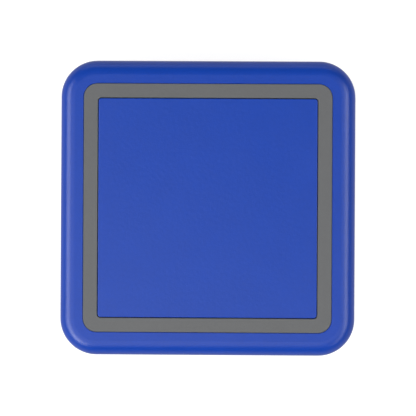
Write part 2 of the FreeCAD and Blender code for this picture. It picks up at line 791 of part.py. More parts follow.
light = new_body(z="carrier_top")
outline = Profile(light).rounded_square("light_board_outer", "light_board_corner")
pad(light, outline.rounded_square("light_board_inner", "ring_inner_corner"), "light_board_thick")
link_holes = Profile(light)
for side in (-1, 1):
    link_holes.circle("link_wire + slack", f"link_x + {side} * link_pitch / 2", "led_row + 0.9")
pocket(light, link_holes, "light_board_thick", up=True)
node(light, "light_board")

leds = []
lamp_seat = "carrier_top + light_board_thick"
for side in (-1, 1):
    for step in (-1, 0, 1):
        row, along = f"{side} * led_row", f"{step} * led_pitch"
        lying = (("led_length", "led_width", along, row), ("led_width", "led_length", row, along))
        for width, depth, x, y in lying:
            case = box(width, depth, "led_height", x, y, lamp_seat)
            dish = cylinder("led_window", "led_height", x, y, f"{lamp_seat} + led_height * 0.8")
            leds.append(cut(case, dish))
node(group(leds), "light_leds")

# ---------------------------------------------------------------- circuit board and its parts

pin_length = "board_thick + pin_tail"
pin_start = "board_bottom - pin_tail"
board_holes = []


def pin(radius, x, y, top_z):
    """A round wire pin through the board, up to top_z, and the hole for it."""
    board_holes.append((f"({radius}) + pin_clear", x, y))
    return cylinder(radius, f"({top_z}) - ({pin_start})", x, y, pin_start)


for name, side in SIDES.items():
    x = f"{side} * capacitor_x"
    axis = f"{board_top} + capacitor_radius + 0.2"
    back, front = "capacitor_length / 2", "-capacitor_length / 2"
    inner = "capacitor_radius - capacitor_sleeve"
    sleeve = cylinder("capacitor_radius", "capacitor_length", x, front, axis, ALONG_Y)
    sleeve_bore = cylinder(inner, "capacitor_length * 2", x, f"2 * ({front})", axis, ALONG_Y)
    node(cut(sleeve, sleeve_bore), f"capacitor_sleeve_{name}")
    can = cylinder(f"{inner} - 0.02", "capacitor_length - 0.6", x, f"{front} + 0.3", axis, ALONG_Y)
    mouth = cylinder("bung_radius", "bung_depth + 0.3", x, front, axis, ALONG_Y)
    node(cut(can, mouth), f"capacitor_can_{name}")
    bung = cylinder("bung_radius - 0.02", "bung_depth - 0.1", x, f"{front} + 0.35", axis, ALONG_Y)
    bung_holes = []
    for step in (-1, 1):
        at = (f"{x} + {step} * capacitor_pitch", f"{front} - 2", axis)
        bung_holes.append(cylinder("capacitor_wire + 0.03", "capacitor_length / 2", *at, ALONG_Y))
    node(cut(bung, *bung_holes), f"capacitor_bung_{name}")

capacitor_leads = []
for side in (-1, 1):
    for step in (-1, 1):
        x = f"{side} * capacitor_x + {step} * capacitor_pitch"
        y = "-capacitor_length / 2 - capacitor_reach"
        axis = f"{board_top} + capacitor_radius + 0.2"
        board_holes.append(("capacitor_wire + pin_clear", x, y))
        path = [(x, "-capacitor_length / 2 + 1.5", axis), (x, y, axis), (x, y, pin_start)]
        capacitor_leads.append(bent_wire(path, "capacitor_wire", "1.2"))
node(group(capacitor_leads), "capacitor_leads")

tx, ty = "transformer_x", "transformer_y"
core_z = f"{board_top} + transformer_base + transformer_core_thick / 2 + 2.3"
core_low = f"{core_z} - transformer_core_thick / 2"
core = box("transformer_width", "transformer_depth", "transformer_core_thick", tx, ty, core_low)
slots = []
slot_width = "(transformer_width - 2 * transformer_leg - transformer_post) / 2"
for side in (-1, 1):
    x = f"{tx} + {side} * (transformer_post + {slot_width}) / 2"
    slot = (slot_width, "transformer_depth - 2 * transformer_leg", "transformer_core_thick * 2")
    slots.append(box(*slot, x, ty, board_top))
node(cut(core, *slots), "transformer_core")
tube_length = "transformer_depth - 2 * transformer_leg - 2 * slack"
tube_width = "transformer_post + 2 * slack + 2 * transformer_tube"
tube_height = "transformer_core_thick + 2 * slack + 2 * transformer_tube"
tube = box(tube_width, tube_length, tube_height, tx, ty, f"{core_z} - ({tube_height}) / 2")
hole = ("transformer_post + 2 * slack", "transformer_depth", "transformer_core_thick + 2 * slack")
tube_hole = box(*hole, tx, ty, f"{core_low} - slack")
foot_block = box("transformer_width", "transformer_depth", "transformer_base", tx, ty, board_top)
flanges = []
flange_bottom = f"{board_top} + transformer_base / 2"
flange_height = f"2 * (({core_z}) - ({flange_bottom}))"
for end in (-1, 1):
    y = f"{ty} + {end} * (({tube_length}) / 2 - 0.3)"
    flanges.append(box("transformer_post + 4.6", "0.6", flange_height, tx, y, flange_bottom))
former = cut(fuse(tube, foot_block, *flanges), tube_hole)
node(former, "transformer_bobbin")
copper_length = f"({tube_length}) - 1.2 - 2 * hairline"
copper_width = f"{tube_width} + 2 * transformer_copper"
copper_height = f"{tube_height} + 2 * transformer_copper"
copper = box(copper_width, copper_length, copper_height, tx, ty, f"{core_z} - ({copper_height}) / 2")
hole = (f"{tube_width} + 2 * hairline", "transformer_depth", f"{tube_height} + 2 * hairline")
copper_hole = box(*hole, tx, ty, f"{core_z} - ({tube_height}) / 2 - hairline")
node(cut(copper, copper_hole), "transformer_winding")
solder_pins = []
for side in (-1, 1):
    for end in (-1, 0, 1):
        at = (f"{tx} + {side} * (transformer_width / 2 - 1.2)", f"{ty} + {end} * transformer_pin_pitch")
        solder_pins.append(pin("transformer_pin", *at, board_top))

# thyristor, lying flat on its tab
hx, hy = "thyristor_x", "thyristor_y"
tab_depth = "thyristor_body + thyristor_tab"
tab_y = f"{hy} + thyristor_tab / 2"
hole_y = f"{hy} + (thyristor_body + thyristor_tab) / 2 + 0.4"
tab = box("thyristor_width", tab_depth, "thyristor_tab_thick", hx, tab_y, board_top)
tab_hole = cylinder("thyristor_hole", "thyristor_tab_thick * 3", hx, hole_y, f"{board_top} - thyristor_tab_thick")
node(cut(tab, tab_hole), "thyristor_tab")
moulding = box("thyristor_width", "thyristor_body", "thyristor_height - thyristor_tab_thick", hx, hy,
               f"{board_top} + thyristor_tab_thick")
thyristor_leads, lead_sockets = [], []
for step in (-1, 0, 1):
    x = f"{hx} + {step} * thyristor_pin_pitch"
    lead_z = f"{board_top} + 2.6"
    bend_y = f"{hy} - thyristor_body / 2 - thyristor_pin_reach"
    board_holes.append(("thyristor_pin + pin_clear", x, bend_y))
    path = [(x, f"{hy} - thyristor_body / 2 + 1.5", lead_z), (x, bend_y, lead_z), (x, bend_y, pin_start)]
    thyristor_leads.append(bent_wire(path, "thyristor_pin", "thyristor_pin_bend"))
    mouth_y = f"{hy} - thyristor_body / 2 - 1"
    lead_sockets.append(cylinder("thyristor_pin + 0.03", "2.6", x, mouth_y, lead_z, ALONG_Y))
node(cut(moulding, *lead_sockets), "thyristor_body")
node(group(thyristor_leads), "thyristor_leads")

# inductor, chips and small parts
ix, iy = "inductor_x", "inductor_y"
shell = box("inductor_width", "inductor_width", "inductor_height", ix, iy, board_top)
cavity = cylinder("inductor_width * 0.4", "inductor_height", ix, iy, f"{board_top} + 1")
node(cut(shell, cavity), "inductor_shield")
drum = fuse(
    cylinder("inductor_width * 0.37", "1.0", ix, iy, f"{board_top} + 1"),
    cylinder("inductor_width * 0.2", "inductor_height - 1.2", ix, iy, f"{board_top} + 1"),
    cylinder("inductor_width * 0.37", "0.9", ix, iy, f"{board_top} + inductor_height - 1.1"),
)
node(drum, "inductor_drum")

chips = []
packages = (("-6", "-12", "9.9", "3.9"), ("14", "-14", "5", "3.9"), ("-22", "-8", "3", "1.6"))
for x, y, width, depth in packages:
    body = box(width, depth, "chip_height", x, y, f"{board_top} + chip_lift")
    dot_x, dot_y = f"{x} - {width} / 2 + 0.9", f"{y} - {depth} / 2 + 0.9"
    dot = cylinder("chip_dot", "0.4", dot_x, dot_y, f"{board_top} + chip_lift + chip_height - 0.1")
    chips.append(cut(body, dot))
node(group(chips), "control_chips")
small = []
spots = [(2, -20), (5, -20), (8, -20), (-14, -14), (-14, -18), (20, -8), (22, -12)]
spots += [(-22, 0), (-22, 3), (0, 16), (3, 16), (6, 16), (-4, 24), (22, 22)]
for x, y in spots:
    small.append(box("small_part_width", "small_part_depth", "small_part_height", x, y, board_top))
node(group(small), "small_parts")

resistors, resistor_leads = [], []
for step in (-1, 1):
    x, z = f"resistor_x + {step} * resistor_pitch / 2", f"{board_top} + resistor_radius + 0.2"
    barrel = cylinder("resistor_radius", "resistor_length", x, "resistor_y - resistor_length / 2", z, ALONG_Y)
    for end in (-1, 1):
        near = f"resistor_y + {end} * (resistor_length / 2 - 1.2)"
        far = f"resistor_y + {end} * (resistor_length / 2 + 2)"
        board_holes.append(("resistor_wire + pin_clear", x, far))
        wire = [(x, near, z), (x, far, z), (x, far, pin_start)]
        resistor_leads.append(bent_wire(wire, "resistor_wire", "resistor_wire_bend"))
    sockets = []
    for y in ("resistor_y - resistor_length / 2 - 1", "resistor_y + resistor_length / 2 - 1.3"):
        sockets.append(cylinder("resistor_wire + 0.03", "2.3", x, y, z, ALONG_Y))
    resistors.append(cut(barrel, *sockets))
node(group(resistors), "bleed_resistors")
node(group(resistor_leads), "resistor_leads")

# supply socket
socket_y = "socket_face - socket_depth / 2"
socket_axis = f"{board_top} + socket_rise"
housing = box("socket_width", "socket_depth", "socket_height", "0", socket_y, board_top)
bore_start = "socket_face - socket_bore_depth"
socket_bore = cylinder("socket_bore", "socket_bore_depth * 2", "0", bore_start, socket_axis, ALONG_Y)
seat_y = "socket_face - socket_depth + 1"
pin_seat = cylinder("socket_pin + 0.63", "socket_depth", "0", seat_y, socket_axis, ALONG_Y)
tag_spots = (("0", "socket_face - 13"), ("0", "socket_face - 7.5"), ("4", "socket_face - 11"))
for x, y in tag_spots:
    solder_pins.append(box("tag_thick", "tag_width", pin_length, x, y, pin_start))
node(cut(housing, socket_bore, pin_seat), "socket_body")
front_of_seat = "socket_face - 1 - socket_pin_length"
shaft = cylinder("socket_pin", "socket_pin_length", "0", front_of_seat, socket_axis, ALONG_Y)
root = cylinder("socket_pin + 0.6", "3", "0", f"{front_of_seat} - 3", socket_axis, ALONG_Y)
node(fuse(shaft, root), "socket_pin")

# lever switch
switch_top = f"{board_top} + switch_height"
case = box("switch_length", "switch_width", "switch_height", "0", "rod_y", board_top)
ears = []
for side in (-1, 1):
    y = f"rod_y + {side} * (lever_width / 2 + slack + ear_thick / 2)"
    ear_bottom = f"{switch_top} - switch_height / 2"
    ears.append(box("1.6", "ear_thick", "switch_height / 2 + 1.1", "lever_pivot_x", y, ear_bottom))
pivot_reach = "lever_width + 4 * ear_thick"
pivot_y = f"rod_y - ({pivot_reach}) / 2"
pivot_hole = cylinder("lever_pin + 0.03", pivot_reach, "lever_pivot_x", pivot_y, "lever_pivot_z", ALONG_Y)
plunger_spot = ("plunger_x", "rod_y", "plunger_bottom - 0.6")
plunger_hole = cylinder("plunger_radius + 0.05", "switch_height", *plunger_spot)
node(cut(fuse(case, *ears), pivot_hole, plunger_hole), "switch_body")
lever_tilt = FreeCAD.Rotation(Vector(0, 1, 0), -DIMENSIONS["lever_angle"])
blade = doc.addObject("Part::Box", "blade")
bind(blade, Length="lever_length", Width="lever_width", Height="lever_thick")
blade_x = "lever_pivot_x + lever_thick / 2 * sin(lever_angle)"
blade_z = "lever_pivot_z - lever_thick / 2 * cos(lever_angle)"
place(blade, blade_x, "rod_y - lever_width / 2", blade_z, lever_tilt)
pivot_width = "lever_width + 2 * slack + 2 * ear_thick"
pivot_y = f"rod_y - ({pivot_width}) / 2"
pivot = cylinder("lever_pin", pivot_width, "lever_pivot_x", pivot_y, "lever_pivot_z", ALONG_Y)
node(fuse(blade, pivot), "switch_lever")
plunger = new_body("plunger_x", "rod_y", "plunger_bottom")
pad(plunger, Profile(plunger).circle("plunger_radius"), "plunger_top - plunger_bottom")
ease(plunger, "Fillet", "plunger_radius * 0.96", at_level("plunger_top - plunger_bottom"))
node(plunger, "switch_plunger")
for step in (-1, 0, 1):
    tag_x = f"{step} * switch_tag_pitch"
    solder_pins.append(box("switch_tag_width", "switch_tag_thick", pin_length, tag_x, "rod_y", pin_start))

# terminal block for the coil
bx, by = "block_x", "block_y"
block = box("block_width", "block_depth", "block_height", bx, by, board_top)
entries, shafts, block_screws = [], [], []
for side in (-1, 1):
    x = f"{bx} + {side} * block_pitch / 2"
    mouth = (x, f"{by} - block_depth / 2 - 1", f"{board_top} + block_entry_rise")
    entries.append(cylinder("block_entry", "block_depth - 1.5", *mouth, ALONG_Y))
    shaft_bottom = f"{board_top} + block_entry_rise + 1"
    shafts.append(cylinder("block_screw + slack", "block_height", x, by, shaft_bottom))
    head = cylinder("block_screw", "2.2", x, by, f"{board_top} + block_height - 3.2")
    slot = box("block_screw * 3", "0.6", "1", x, by, f"{board_top} + block_height - 1.6")
    stem = cylinder("1.0", "2.0", x, by, f"{board_top} + block_height - 4.6")
    block_screws.append(cut(fuse(head, stem), slot))
    solder_pins.append(pin("0.5", x, f"{by} + 1.5", board_top))
node(cut(block, *entries, *shafts), "terminal_body")
node(group(block_screws), "terminal_screws")

node(group(solder_pins), "solder_pins")

# link from the main board up to the light board
lx, ly = "link_x", "link_y"
header = box("link_width", "link_depth", "link_height", lx, ly, board_top)
trough = box("link_width - 1.6", "link_depth - 1.6", "link_height", lx, ly, f"{board_top} + 1.2")
node(cut(header, trough), "link_header")
shoe = box("link_width - 2", "link_depth - 2", "link_height", lx, ly, f"{board_top} + 1.2 + hairline")
link_wires, wire_holes = [], []
for side in (-1, 1):
    x = f"{lx} + {side} * link_pitch / 2"
    low, high = f"{board_top} + link_height - 1", "carrier_top + light_board_thick"
    wire_holes.append(cylinder("link_wire + 0.03", "link_height", x, ly, low))
    middle, upper = f"({low} + {high}) / 2", "led_row + 0.9"
    path = [(x, ly, f"{low} + 0.05"), (x, ly, middle), (x, upper, middle), (x, upper, high)]
    link_wires.append(bent_wire(path, "link_wire", "link_bend"))
node(cut(shoe, *wire_holes), "link_plug")
node(group(link_wires), "link_wires")

# the board itself, with a hole for everything that goes through it
board = new_body(z="board_bottom")
pad(board, Profile(board).polygon(*notched_square("board_half", "board_notch")), "board_thick")
drilled, slotted = Profile(board), Profile(board)
for hole in board_holes:
    drilled.circle(*hole)
for px, py in CORNERS.values():
    drilled.circle("board_screw_radius + slack", f"{px} * board_screw_pitch", f"{py} * board_screw_pitch")
for x, y in tag_spots:
    slotted.rectangle("tag_thick + 2 * pin_clear", "tag_width + 2 * pin_clear", x, y)
for step in (-1, 0, 1):
    slot = ("switch_tag_width + 2 * pin_clear", "switch_tag_thick + 2 * pin_clear")
    slotted.rectangle(*slot, f"{step} * switch_tag_pitch", "rod_y")
pocket(board, drilled, "board_thick", up=True)
pocket(board, slotted, "board_thick", up=True)
node(board, "main_board")

board_screws = []
for px, py in CORNERS.values():
    at = (f"{px} * board_screw_pitch", f"{py} * board_screw_pitch")
    shank = cylinder("board_screw_radius", "board_screw_length", *at, f"{board_top} - board_screw_length")
    head = cylinder("board_screw_head", "board_screw_head_height", *at, board_top)
    slots = [box(*plan, "2", *at, f"{board_top} + 0.9") for plan in (("3", "screw_slot"), ("screw_slot", "3"))]
    board_screws.append(cut(fuse(shank, head), *slots))
node(group(board_screws), "board_screws")

film = box("film_width", "film_depth", "sheet_thick", z="foot_stand + floor_thick")
corner_slots = []
for px, py in CORNERS.values():
    spot = (f"{px} * board_screw_pitch", f"{py} * board_screw_pitch", "foot_stand")
    corner_slots.append(cylinder("standoff_radius + 0.5", "board_bottom", *spot))
node(cut(film, *corner_slots), "insulating_sheet")

# ---------------------------------------------------------------- checks and files

doc.recompute()
faults = [obj.Name for obj in doc.Objects if {"Invalid", "Error"} & set(obj.State)]
if faults:
    raise RuntimeError(f"could not be built: {faults}")
os.makedirs("parts", exist_ok=True)
for obj in nodes:
    if obj.Shape.isNull() or not obj.Shape.isValid() or not obj.Shape.Solids:
        raise RuntimeError(f"{obj.Label} has no sound solid")
    obj.Shape.exportStep(f"parts/{obj.Label}.step")
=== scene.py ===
"""Looks, light and camera for the pad demagnetizer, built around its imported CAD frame.

All lengths are in metres.
"""

import json
import math

import bmesh
import bpy
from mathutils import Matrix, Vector


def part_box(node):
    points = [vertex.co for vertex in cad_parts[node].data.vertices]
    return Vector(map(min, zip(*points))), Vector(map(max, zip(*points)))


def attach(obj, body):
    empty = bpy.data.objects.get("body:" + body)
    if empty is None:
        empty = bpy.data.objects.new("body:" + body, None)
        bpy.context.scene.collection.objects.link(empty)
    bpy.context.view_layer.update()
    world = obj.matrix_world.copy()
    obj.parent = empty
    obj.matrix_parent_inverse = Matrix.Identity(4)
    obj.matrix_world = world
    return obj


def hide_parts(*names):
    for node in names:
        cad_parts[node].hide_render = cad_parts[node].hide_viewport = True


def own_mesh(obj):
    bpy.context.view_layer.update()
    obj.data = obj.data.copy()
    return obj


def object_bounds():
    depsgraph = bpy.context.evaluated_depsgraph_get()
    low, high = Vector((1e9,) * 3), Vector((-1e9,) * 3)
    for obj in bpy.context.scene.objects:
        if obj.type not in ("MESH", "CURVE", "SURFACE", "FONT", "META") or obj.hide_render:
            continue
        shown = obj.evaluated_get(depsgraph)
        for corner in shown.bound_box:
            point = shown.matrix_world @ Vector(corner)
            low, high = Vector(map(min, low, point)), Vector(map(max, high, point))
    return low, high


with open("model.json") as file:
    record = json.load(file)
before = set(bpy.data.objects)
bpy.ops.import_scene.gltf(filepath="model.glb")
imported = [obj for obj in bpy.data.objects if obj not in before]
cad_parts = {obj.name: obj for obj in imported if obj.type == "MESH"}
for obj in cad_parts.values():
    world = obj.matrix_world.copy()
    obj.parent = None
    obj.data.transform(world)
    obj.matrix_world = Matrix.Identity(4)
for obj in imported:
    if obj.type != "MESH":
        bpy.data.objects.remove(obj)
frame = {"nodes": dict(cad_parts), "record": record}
cad_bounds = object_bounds()
nodes = frame["nodes"]
scene = bpy.context.scene
scene.view_settings.view_transform = "Standard"

MM = 0.001
MICRON = 0.001 * MM

# ---------------------------------------------------------------- materials


class Look:
    """A material under construction: a Principled surface and the nodes that drive it."""

    def __init__(self, name):
        self.material = bpy.data.materials.new(name)
        self.material.use_nodes = True
        self.tree = self.material.node_tree
        self.surface = self.tree.nodes["Principled BSDF"]
        self.place = self.tree.nodes.new("ShaderNodeTexCoord").outputs["Object"]

    def add(self, kind, inputs=(), **settings):
        """A node with these settings. Each input is a number or colour, or another node's output."""
        node = self.tree.nodes.new(kind)
        for name, value in settings.items():
            setattr(node, name, value)
        for name, value in dict(inputs).items():
            if isinstance(value, bpy.types.NodeSocket):
                self.tree.links.new(value, node.inputs[name])
            else:
                node.inputs[name].default_value = value
        return node

    def set(self, **sockets):
        """Sets the surface's own sockets, named in lower case with underscores."""
        for name, value in sockets.items():
            socket = self.surface.inputs[name.replace("_", " ").title()]
            if isinstance(value, bpy.types.NodeSocket):
                self.tree.links.new(value, socket)
            else:
                socket.default_value = value

    def noise(self, size, detail=2.0, stretch=(1, 1, 1), roughness=0.5):
        """Soft noise with features of about that size in metres."""
        mapped = self.add("ShaderNodeMapping", {"Vector": self.place, "Scale": stretch}).outputs[0]
        settings = {"Vector": mapped, "Scale": 1 / size, "Detail": detail, "Roughness": roughness}
        return self.add("ShaderNodeTexNoise", settings).outputs["Fac"]

    def between(self, fac, low, high, start=0.3, end=0.7):
        """Runs from low to high as fac goes from start to end."""
        settings = {"Value": fac, "From Min": start, "From Max": end, "To Min": low, "To Max": high}
        return self.add("ShaderNodeMapRange", settings).outputs[0]

    def mix(self, fac, a, b):
        """Colour a where fac is 0 and colour b where it is 1."""
        # a Mix node lists its colour sockets after those for numbers and vectors
        fac_in, a_in, b_in, colour_out = 0, 6, 7, 2
        mixer = self.add("ShaderNodeMix", {fac_in: fac, a_in: a, b_in: b}, data_type="RGBA")
        return mixer.outputs[colour_out]

    def bump(self, height, depth, under=None):
        """A normal for relief of that depth in metres, laid over another bump if under is given."""
        inputs = {"Height": height, "Distance": depth, "Strength": 1.0}
        if under is not None:
            inputs["Normal"] = under
        return self.add("ShaderNodeBump", inputs).outputs[0]


def shade(colour, factor):
    """The colour made lighter or darker by that factor."""
    return [c * factor for c in colour[:3]] + [1.0]


FLOW_SIZE, FLECK_SIZE, RUB_SIZE, PEEL_SIZE = 9 * MM, 0.8 * MM, 12 * MM, 1.3 * MM
PEEL_DEPTH = 42 * MICRON
RUB_ROUGHNESS = 0.015


def plastic(name, colour, roughness=0.4, grain=0.45 * MM, depth=14 * MICRON, mottle=0.045):
    """Moulded plastic: eroded grain over a faint orange peel, with flow mottling and rubbed patches."""
    look = Look(name)
    blotch = look.between(look.noise(FLOW_SIZE, detail=4), 0, 1)
    fleck = look.between(look.noise(FLECK_SIZE, detail=2), 0, 1, 0.25, 0.75)
    flow = look.mix(blotch, shade(colour, 1 - mottle), shade(colour, 1 + mottle))
    dots = look.mix(fleck, shade(colour, 1 - 2.2 * mottle), shade(colour, 1 + 2 * mottle))
    rub = look.noise(RUB_SIZE, detail=4, stretch=(1, 0.55, 1))
    eroded = look.bump(look.noise(grain, detail=3, roughness=0.65), depth)
    peel = look.bump(look.noise(PEEL_SIZE, detail=4, roughness=0.6), PEEL_DEPTH, under=eroded)
    look.set(base_color=look.mix(0.5, flow, dots), normal=peel)
    look.set(roughness=look.between(rub, roughness - RUB_ROUGHNESS, roughness + RUB_ROUGHNESS))
    return look


LINE_SIZE, CLOUD_SIZE = 0.4 * MM, 4 * MM
LINE_DEPTH = 6 * MICRON
CLOUD_SHADE = 0.86


def metal(name, colour, roughness=0.3, along=(1, 1, 1)):
    """Drawn or plated metal: fine lines, with cloudy patches."""
    look = Look(name)
    lines = look.noise(LINE_SIZE, detail=3, stretch=along)
    cloud = look.noise(CLOUD_SIZE, detail=3)
    look.set(base_color=look.mix(look.between(cloud, 0, 1), shade(colour, CLOUD_SHADE), colour))
    look.set(roughness=look.between(lines, roughness - 0.08, roughness + 0.1), metallic=1.0)
    look.set(normal=look.bump(lines, LINE_DEPTH))
    return look


DUST_SIZE, PIT_SIZE = 2.5 * MM, 0.3 * MM
PIT_DEPTH = 30 * MICRON
DUST_SHADE = 2.2


def rubber(name, colour):
    """Matt rubber with fine pits and a little dust."""
    look = Look(name)
    dust = look.noise(DUST_SIZE, detail=5)
    pits = look.noise(PIT_SIZE, detail=2)
    look.set(base_color=look.mix(look.between(dust, 0, 1, 0.45, 0.75), colour, shade(colour, DUST_SHADE)))
    look.set(roughness=look.between(dust, 0.72, 0.9), normal=look.bump(pits, PIT_DEPTH))
    return look


RUN_SCALE, RUN_WIDTH, WEAVE_SCALE = 260.0, 0.028, 900.0
COPPER_DEPTH, WEAVE_DEPTH = 40 * MICRON, 4 * MICRON
RUN_SHADE = 1.9


def laminate(name, colour):
    """Circuit board: solder mask over a glass weave, with copper runs showing through lighter."""
    look = Look(name)
    bricks = {"Vector": look.place, "Scale": RUN_SCALE, "Mortar Size": RUN_WIDTH}
    runs = look.add("ShaderNodeTexBrick", bricks).outputs["Fac"]
    threads = {"Vector": look.place, "Scale": WEAVE_SCALE, "Distortion": 0.5}
    weave = look.add("ShaderNodeTexWave", threads).outputs["Fac"]
    look.set(base_color=look.mix(runs, colour, shade(colour, RUN_SHADE)), roughness=0.28)
    look.set(normal=look.bump(runs, COPPER_DEPTH, under=look.bump(weave, WEAVE_DEPTH)))
    return look


def wound(name, colour):
    """Enamelled wire: bright drawn copper under a clear coat."""
    look = metal(name, colour, roughness=0.22, along=(1, 1, 6))
    look.set(coat_weight=0.6, coat_roughness=0.12)
    return look


BLUE = [0.0006, 0.0408, 0.340, 1.0]
GRAY = [0.1025, 0.1055, 0.1085, 1.0]

slots = {
    "case_plastic": plastic("case_plastic", BLUE, roughness=0.32),
    "ring_plastic": plastic("ring_plastic", GRAY, roughness=0.5, mottle=0.03),
    "base_plastic": plastic("base_plastic", [0.085, 0.087, 0.092, 1.0], roughness=0.5, depth=30 * MICRON),
    "foot_rubber": rubber("foot_rubber", [0.012, 0.012, 0.013, 1.0]),
    "label_film": plastic("label_film", [0.42, 0.425, 0.43, 1.0], 0.3, grain=0.2 * MM, mottle=0.02),
    "screw_steel": metal("screw_steel", [0.55, 0.55, 0.56, 1.0], 0.3),
    "spring_steel": metal("spring_steel", [0.6, 0.6, 0.62, 1.0], 0.22),
    "flux_steel": metal("flux_steel", [0.32, 0.33, 0.35, 1.0], 0.4),
    "carrier_nylon": plastic("carrier_nylon", [0.010, 0.010, 0.011, 1.0], 0.5, depth=30 * MICRON),
    "bobbin_nylon": plastic("bobbin_nylon", [0.55, 0.48, 0.33, 1.0], 0.45),
    "copper_wire": wound("copper_wire", [0.55, 0.15, 0.045, 1.0]),
    "lead_insulation": plastic("lead_insulation", [0.35, 0.01, 0.008, 1.0], 0.35),
    "board_laminate": laminate("board_laminate", [0.006, 0.07, 0.02, 1.0]),
    "lamp_plastic": plastic("lamp_plastic", [0.8, 0.78, 0.6, 1.0], 0.25),
    "sheet_film": plastic("sheet_film", [0.6, 0.55, 0.4, 1.0], 0.25),
    "can_aluminium": metal("can_aluminium", [0.75, 0.75, 0.76, 1.0], 0.25),
    "sleeve_film": plastic("sleeve_film", [0.004, 0.008, 0.03, 1.0], 0.2),
    "bung_rubber": rubber("bung_rubber", [0.02, 0.018, 0.017, 1.0]),
    "tinned_wire": metal("tinned_wire", [0.68, 0.68, 0.66, 1.0], 0.25),
    "ferrite": plastic("ferrite", [0.02, 0.02, 0.021, 1.0], 0.55, grain=0.5 * MM, depth=40 * MICRON),
    "winding_tape": plastic("winding_tape", [0.65, 0.33, 0.015, 1.0], 0.3),
    "chip_epoxy": plastic("chip_epoxy", [0.009, 0.009, 0.01, 1.0], 0.5, depth=20 * MICRON),
    "part_ceramic": plastic("part_ceramic", [0.25, 0.16, 0.09, 1.0], 0.4),
    "resistor_coat": plastic("resistor_coat", [0.38, 0.24, 0.12, 1.0], 0.2),
    "socket_plastic": plastic("socket_plastic", [0.008, 0.008, 0.009, 1.0], 0.28),
    "pin_brass": metal("pin_brass", [0.66, 0.52, 0.24, 1.0], 0.2),
    "terminal_plastic": plastic("terminal_plastic", [0.006, 0.1, 0.03, 1.0], 0.3),
    "header_plastic": plastic("header_plastic", [0.7, 0.68, 0.58, 1.0], 0.3),
}

slot_of = {part["node"]: part["material_slot"] for part in frame["record"]["subparts"]}
for name, obj in nodes.items():
    obj.data.materials.clear()
    obj.data.materials.append(slots[slot_of[name]].material)


# ---------------------------------------------------------------- pieces that replace plain CAD solids


def smooth_mesh(name, verts, faces, slot, body="housing"):
    """A smooth-shaded piece that rides on that body, with its faces turned outwards."""
    mesh = bpy.data.meshes.new(name)
    mesh.from_pydata(verts, [], faces)
    mesh.validate()
    made = bmesh.new()
    made.from_mesh(mesh)
    bmesh.ops.recalc_face_normals(made, faces=made.faces)
    made.to_mesh(mesh)
    made.free()
    mesh.shade_smooth()
    obj = bpy.data.objects.new(name, mesh)
    scene.collection.objects.link(obj)
    obj.data.materials.append(slots[slot].material)
    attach(obj, body)
    return obj


def tube_along(points, radius, sides=12):
    """Vertices and faces of a round wire with flat capped ends along a list of points."""
    verts, faces = [], []
    for k, here in enumerate(points):
        ahead = points[min(k + 1, len(points) - 1)] - points[max(k - 1, 0)]
        across = ahead.cross(Vector((0, 0, 1))).normalized()
        upward = across.cross(ahead).normalized()
        for s in range(sides):
            angle = 2 * math.pi * s / sides
            verts.append(here + (across * math.cos(angle) + upward * math.sin(angle)) * radius)
    for k in range(len(points) - 1):
        for s in range(sides):
            a, b = k * sides + s, k * sides + (s + 1) % sides
            faces.append((a, b, b + sides, a + sides))
    faces.append(tuple(range(sides)))
    faces.append(tuple(range(len(verts) - sides, len(verts))))
    return verts, faces


SPRING_WIRE = 0.28 * MM
SPRING_TURNS = 6.5
SPRING_MARGIN = 0.3 * MM
STEPS_PER_TURN = 40
# the first and last turns lie almost flat, as they do on a spring with closed ends
END_TURNS = 0.75
END_PITCH = 2 * SPRING_WIRE * 0.9


def spring_line(low, high):
    """The middle line of a spring's wire inside that box."""
    centre = (low + high) / 2
    radius = (high.x - low.x) / 2 - SPRING_MARGIN
    bottom, top = low.z + SPRING_WIRE, high.z - SPRING_WIRE
    open_rise = top - bottom - 2 * END_TURNS * END_PITCH
    open_turns = SPRING_TURNS - 2 * END_TURNS
    steps = int(SPRING_TURNS * STEPS_PER_TURN)
    line = []
    for k in range(steps + 1):
        turn = k / steps * SPRING_TURNS
        opened = min(max((turn - END_TURNS) / open_turns, 0), 1)
        closed = min(turn, END_TURNS) + max(turn - SPRING_TURNS + END_TURNS, 0)
        z = bottom + END_PITCH * closed + open_rise * opened
        angle = 2 * math.pi * turn
        line.append(Vector((centre.x + radius * math.cos(angle), centre.y + radius * math.sin(angle), z)))
    return line


for corner in ("front_left", "front_right", "back_right", "back_left"):
    node = f"plate_spring_{corner}"
    low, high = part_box(node)
    spring = smooth_mesh(f"{node}_coil", *tube_along(spring_line(low, high), SPRING_WIRE), "spring_steel")
    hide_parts(node)
    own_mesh(spring)


WINDING_BORE = 7.85 * MM
WINDING_WIRE = 0.4 * MM
WINDING_SIDES = 144
TURN_STEPS = 8
# a turn is a little less high than its share, so that two turns share no point
TURN_SHARE = 0.998


def winding_mesh(low, high):
    """A layer-wound ring: its outer wall is a stack of round turns."""
    outer = (high.x - low.x) / 2 - WINDING_WIRE
    turns = int((high.z - low.z) / (2 * WINDING_WIRE))
    pitch = (high.z - low.z) / turns
    profile = [(WINDING_BORE, low.z)]
    for t in range(turns):
        middle = low.z + pitch * (t + 0.5)
        for k in range(TURN_STEPS + 1):
            angle = -math.pi / 2 + math.pi * k / TURN_STEPS
            height = middle + pitch / 2 * math.sin(angle) * TURN_SHARE
            profile.append((outer + WINDING_WIRE * math.cos(angle), height))
    profile.append((WINDING_BORE, high.z))
    count = len(profile)
    verts, faces = [], []
    for s in range(WINDING_SIDES):
        angle = 2 * math.pi * s / WINDING_SIDES
        verts += [(r * math.cos(angle), r * math.sin(angle), z) for r, z in profile]
        here, beside = s * count, (s + 1) % WINDING_SIDES * count
        for k in range(count):
            above = (k + 1) % count
            faces.append((here + k, here + above, beside + above, beside + k))
    return verts, faces


